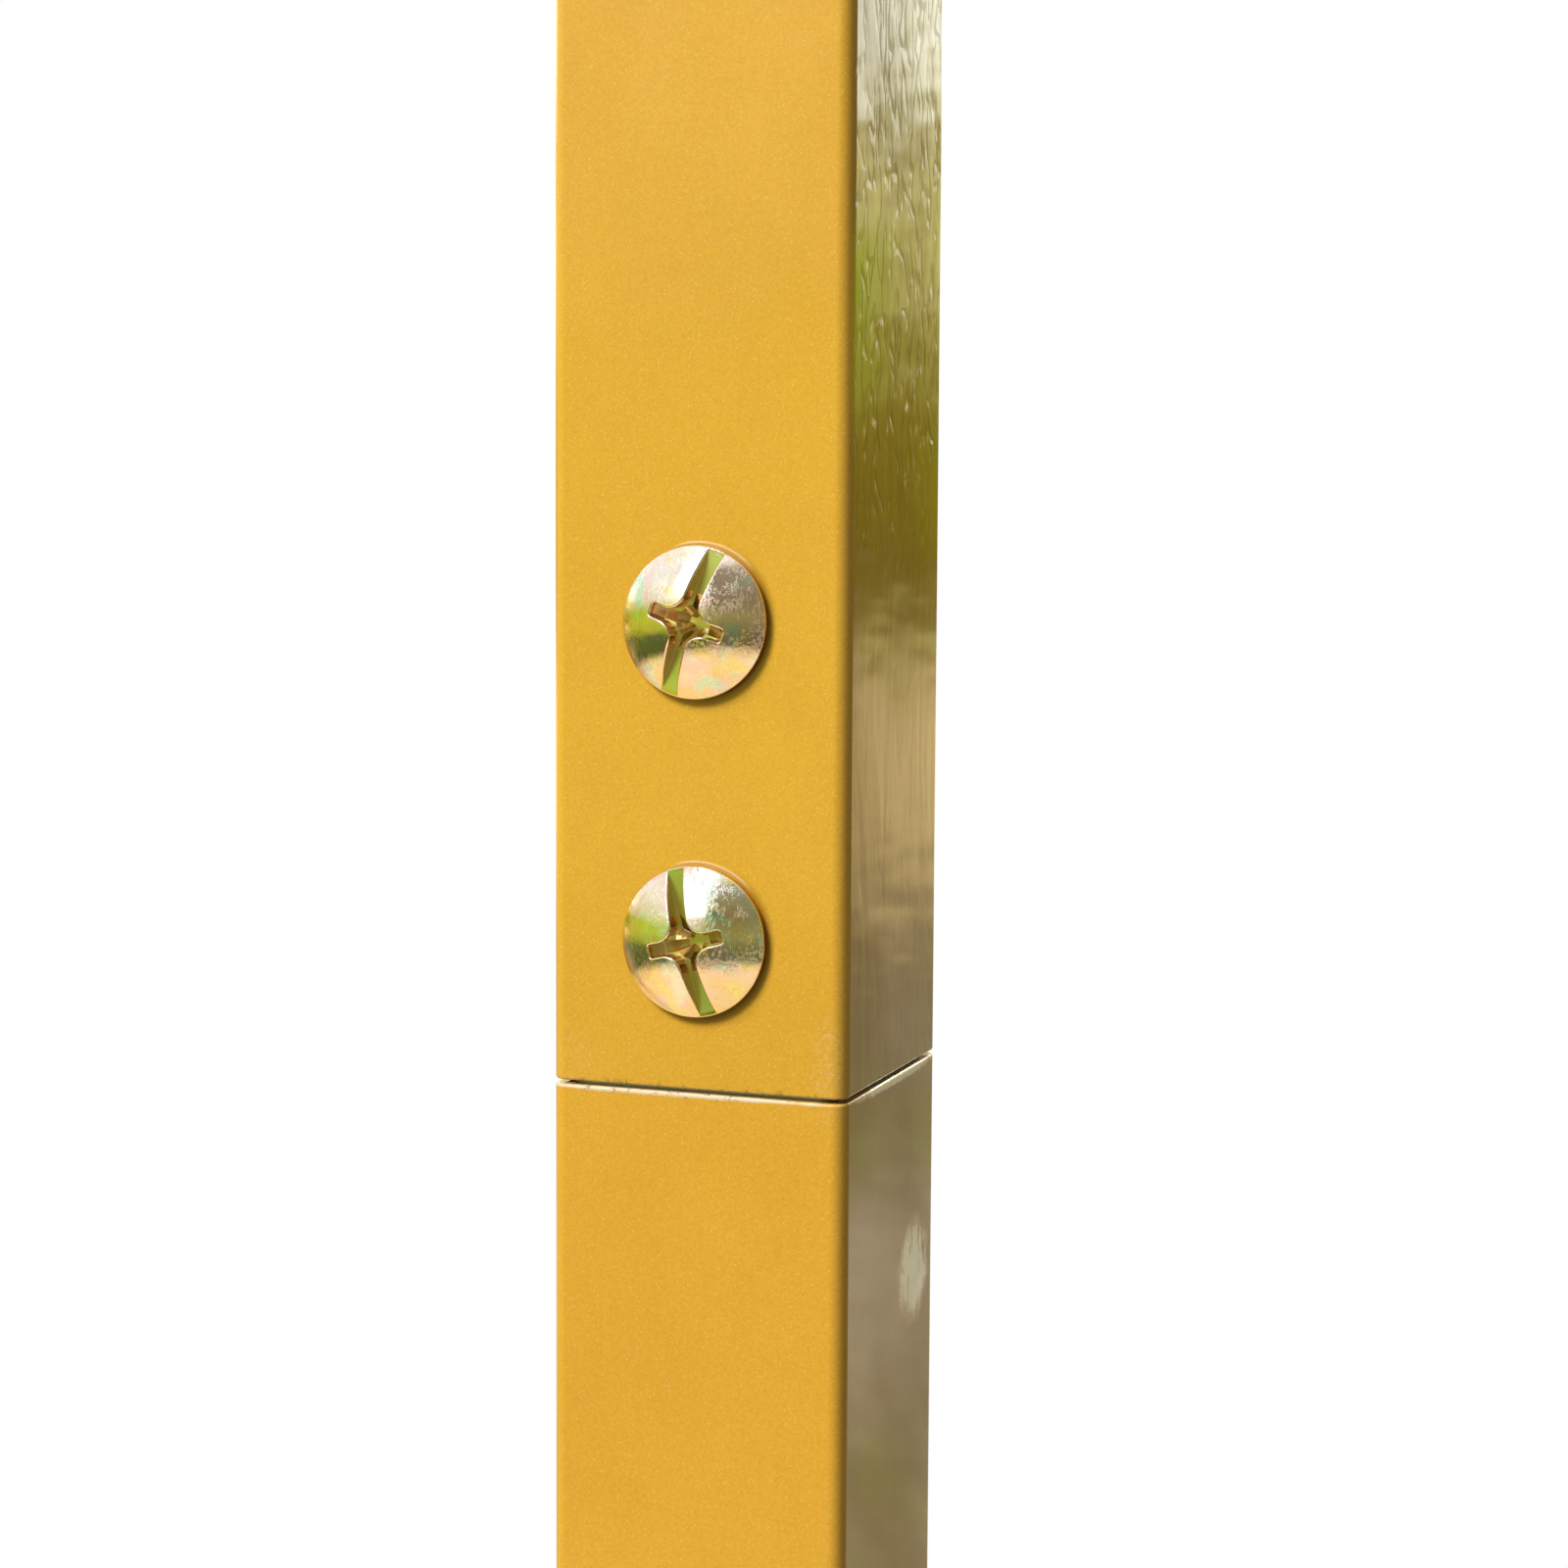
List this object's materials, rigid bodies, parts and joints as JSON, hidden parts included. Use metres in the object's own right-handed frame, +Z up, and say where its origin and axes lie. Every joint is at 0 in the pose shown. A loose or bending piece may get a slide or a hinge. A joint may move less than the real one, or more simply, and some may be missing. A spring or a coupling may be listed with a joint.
{
  "type": "signpost with sign",
  "caption": "Square tube post in two spliced lengths on a gusseted base plate, with a capped top and a flat rounded sign bolted to its front face.",
  "frame": {"origin": "on the ground, at the middle of the base plate's underside", "axes": "+Z up the post, -Y the way the sign faces, +X to the right as the sign is read"},
  "size_m": [0.3, 0.18, 1.6135],
  "materials": {
    "post_coat": "golden-yellow powder coat, glossy, fine metallic sparkle",
    "base_coat": "the same powder coat, on plate, gussets and welds",
    "screw_zinc": "yellow iridescent zinc plate, glossy",
    "sleeve_steel": "dull galvanised steel",
    "sign_metal": "mill-finish sheet, satin",
    "sheeting_white": "white reflective sheeting",
    "film_black": "black film",
    "washer_nylon": "natural nylon",
    "lock_nylon": "blue nylon",
    "cap_plastic": "black moulded plastic, fine grain"
  },
  "bodies": {
    "root": {"base_plate": "base_coat", "base_post_weld": "base_coat", "gusset_front": "base_coat", "gusset_left": "base_coat", "gusset_rear": "base_coat", "gusset_right": "base_coat", "gusset_welds_front": "base_coat", "gusset_welds_left": "base_coat", "gusset_welds_rear": "base_coat", "gusset_welds_right": "base_coat", "lower_post": "post_coat", "plug_weld_lower": "post_coat", "plug_weld_upper": "post_coat", "post_cap": "cap_plastic", "sign_arrow": "film_black", "sign_border": "film_black", "sign_lock_nut_lower": "screw_zinc", "sign_lock_nut_upper": "screw_zinc", "sign_lock_ring_lower": "lock_nylon", "sign_lock_ring_upper": "lock_nylon", "sign_nylon_washer_lower": "washer_nylon", "sign_nylon_washer_upper": "washer_nylon", "sign_panel": "sign_metal", "sign_screw_lower": "screw_zinc", "sign_screw_upper": "screw_zinc", "sign_sheeting": "sheeting_white", "sign_steel_washer_lower": "screw_zinc", "sign_steel_washer_upper": "screw_zinc", "splice_nut_lower": "sleeve_steel", "splice_nut_upper": "sleeve_steel", "splice_screw_lower": "screw_zinc", "splice_screw_upper": "screw_zinc", "splice_sleeve": "sleeve_steel", "upper_post": "post_coat"}
  },
  "joints": []
}
